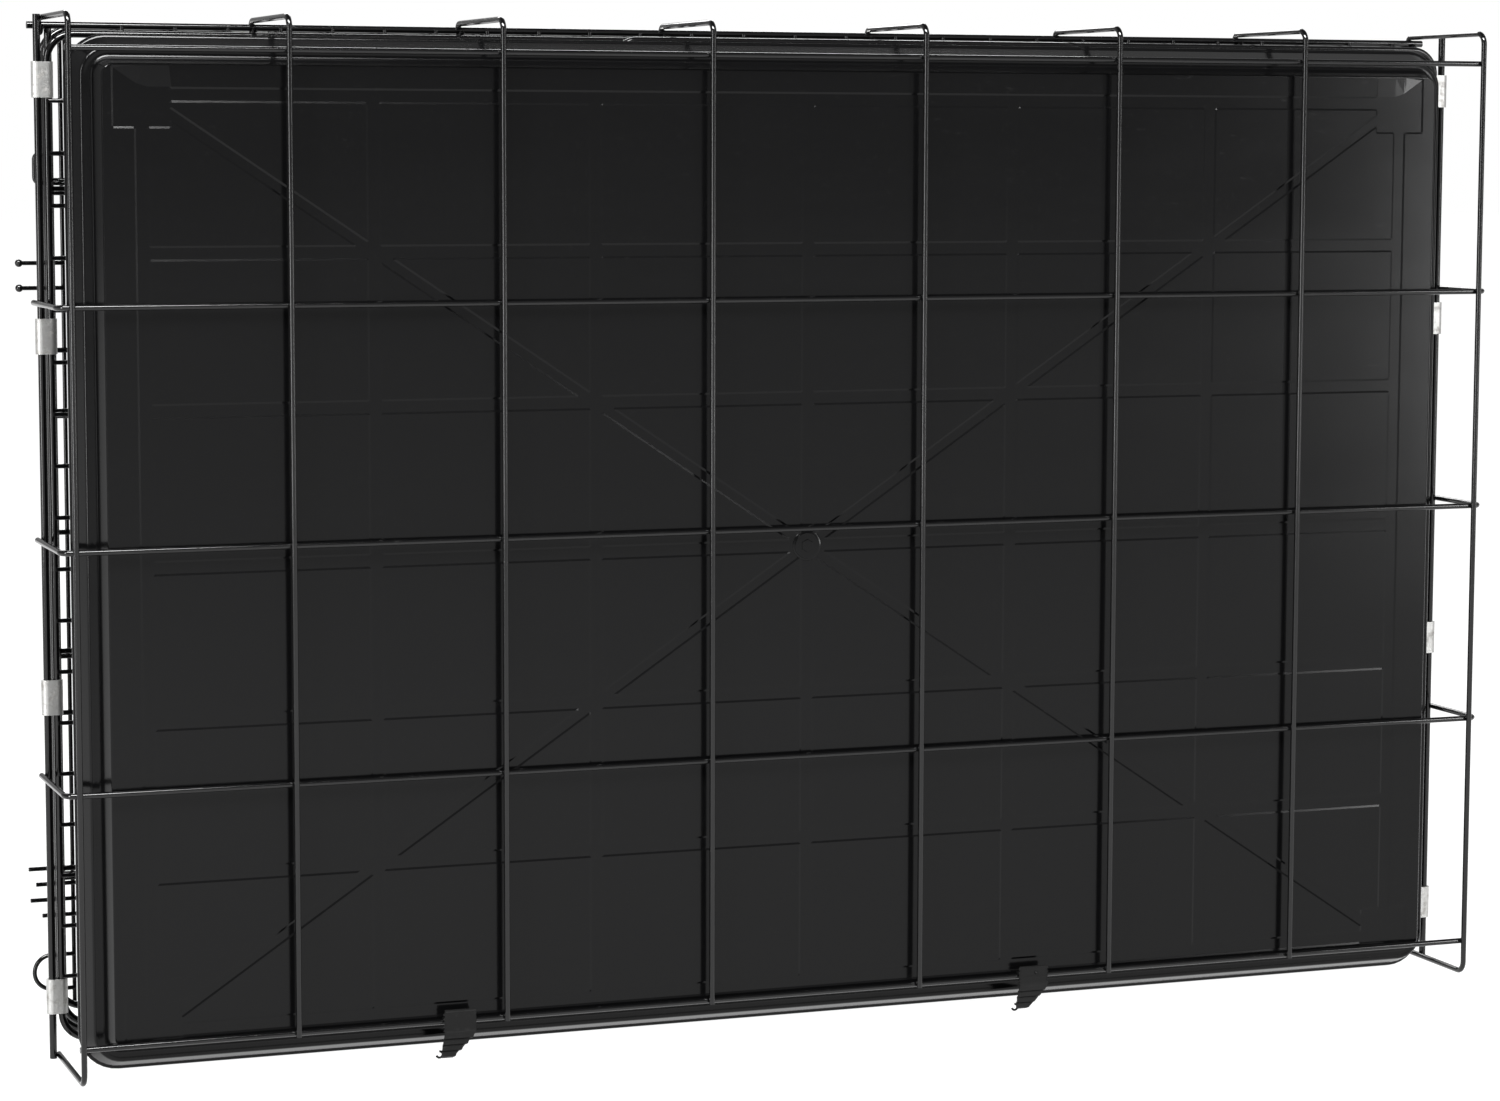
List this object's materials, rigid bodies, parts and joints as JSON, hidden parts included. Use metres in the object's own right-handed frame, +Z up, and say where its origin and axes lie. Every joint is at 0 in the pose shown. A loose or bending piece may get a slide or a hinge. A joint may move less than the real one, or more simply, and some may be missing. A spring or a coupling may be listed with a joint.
{
  "type": "folding wire dog crate",
  "caption": "Folding wire dog crate, folded flat and standing on its long edge, with grid base, slide-out pan, hinged sides and a side door.",
  "frame": {"origin": "centre of the bounding box at the edge that the folded crate stands on", "axes": "+X along the long side, +Y through the folded stack away from the base grid, +Z up along the base's short side"},
  "size_m": [1.0814, 0.1712, 0.711],
  "materials": {
    "black_enamel": "gloss",
    "galvanised": "satin",
    "pan_plastic": "gloss",
    "clip_plastic": "satin"
  },
  "bodies": {
    "base": {"base_cross_wires": "black_enamel", "base_hinge_loops": "black_enamel", "base_long_wires": "black_enamel", "base_left_rim": "black_enamel", "base_right_rim": "black_enamel", "left_end_sleeves": "galvanised", "right_end_sleeves": "galvanised"},
    "pan_body": {"pan": "pan_plastic"},
    "clip_left": {"pan_clip_left": "clip_plastic"},
    "clip_right": {"pan_clip_right": "clip_plastic"},
    "left_end": {"left_end_frame": "black_enamel", "left_end_uprights": "black_enamel", "left_end_long_wires": "black_enamel"},
    "right_end": {"right_end_frame": "black_enamel", "right_end_uprights": "black_enamel", "right_end_long_wires": "black_enamel"},
    "back": {"back_hinge_rod": "black_enamel", "back_frame": "black_enamel", "back_uprights": "black_enamel", "back_long_wires": "black_enamel", "back_top_sleeves": "galvanised"},
    "top": {"top_frame": "black_enamel", "top_uprights": "black_enamel", "top_long_wires": "black_enamel", "top_front_sleeves": "galvanised"},
    "front": {"front_frame": "black_enamel", "front_uprights": "black_enamel", "front_long_wires": "black_enamel", "front_door_posts": "black_enamel", "front_hooks": "black_enamel", "front_end_latches": "black_enamel", "door_hinge_rings": "black_enamel", "bolt_catches": "black_enamel"},
    "door": {"door_frame": "black_enamel", "door_uprights": "black_enamel", "door_long_wires": "black_enamel", "bolt_guides": "black_enamel"},
    "bolt_low": {"bolt_lower": "black_enamel"},
    "bolt_high": {"bolt_upper": "black_enamel"}
  },
  "joints": [
    {"name": "back_hinge", "type": "hinge", "parent": "base", "child": "back", "pos_m": [0, 0.0224, 0.7041], "axis": [1, 0, 0], "range_deg": [0, 90]},
    {"name": "top_hinge", "type": "hinge", "parent": "back", "child": "top", "pos_m": [0, 0.0344, 0.0131], "axis": [-1, 0, 0], "range_deg": [0, 270]},
    {"name": "front_hinge", "type": "hinge", "parent": "top", "child": "front", "pos_m": [0, 0.0464, 0.7021], "axis": [1, 0, 0], "range_deg": [0, 90]},
    {"name": "door_hinge", "type": "hinge", "parent": "front", "child": "door", "pos_m": [-0.23801, 0.0543, 0], "axis": [0, 0, 1], "range_deg": [0, 165]},
    {"name": "lower_bolt_slide", "type": "slide", "parent": "door", "child": "bolt_low", "axis": [1, 0, 0], "range_m": [0, 0.02]},
    {"name": "upper_bolt_slide", "type": "slide", "parent": "door", "child": "bolt_high", "axis": [1, 0, 0], "range_m": [0, 0.02]},
    {"name": "pan_slide", "type": "slide", "parent": "base", "child": "pan_body", "axis": [0, 0, -1], "range_m": [0, 0.62]},
    {"name": "left_clip_hinge", "type": "hinge", "parent": "base", "child": "clip_left", "pos_m": [0, -0.0798, 0.0254], "axis": [-1, 0, 0], "range_deg": [0, 100]},
    {"name": "right_clip_hinge", "type": "hinge", "parent": "base", "child": "clip_right", "pos_m": [0, -0.0798, 0.0254], "axis": [-1, 0, 0], "range_deg": [0, 100]},
    {"name": "left_end_hinge", "type": "hinge", "parent": "base", "child": "left_end", "pos_m": [-0.5227, 0.0094, 0], "axis": [0, 0, 1], "range_deg": [0, 0.3]},
    {"name": "right_end_hinge", "type": "hinge", "parent": "base", "child": "right_end", "pos_m": [0.5227, -0.0156, 0], "axis": [0, 0, -1], "range_deg": [0, 0.3]}
  ],
  "couplings": [
    {"joint": "top_hinge", "follows": "back_hinge", "ratio": 3},
    {"joint": "front_hinge", "follows": "back_hinge", "ratio": 1}
  ]
}
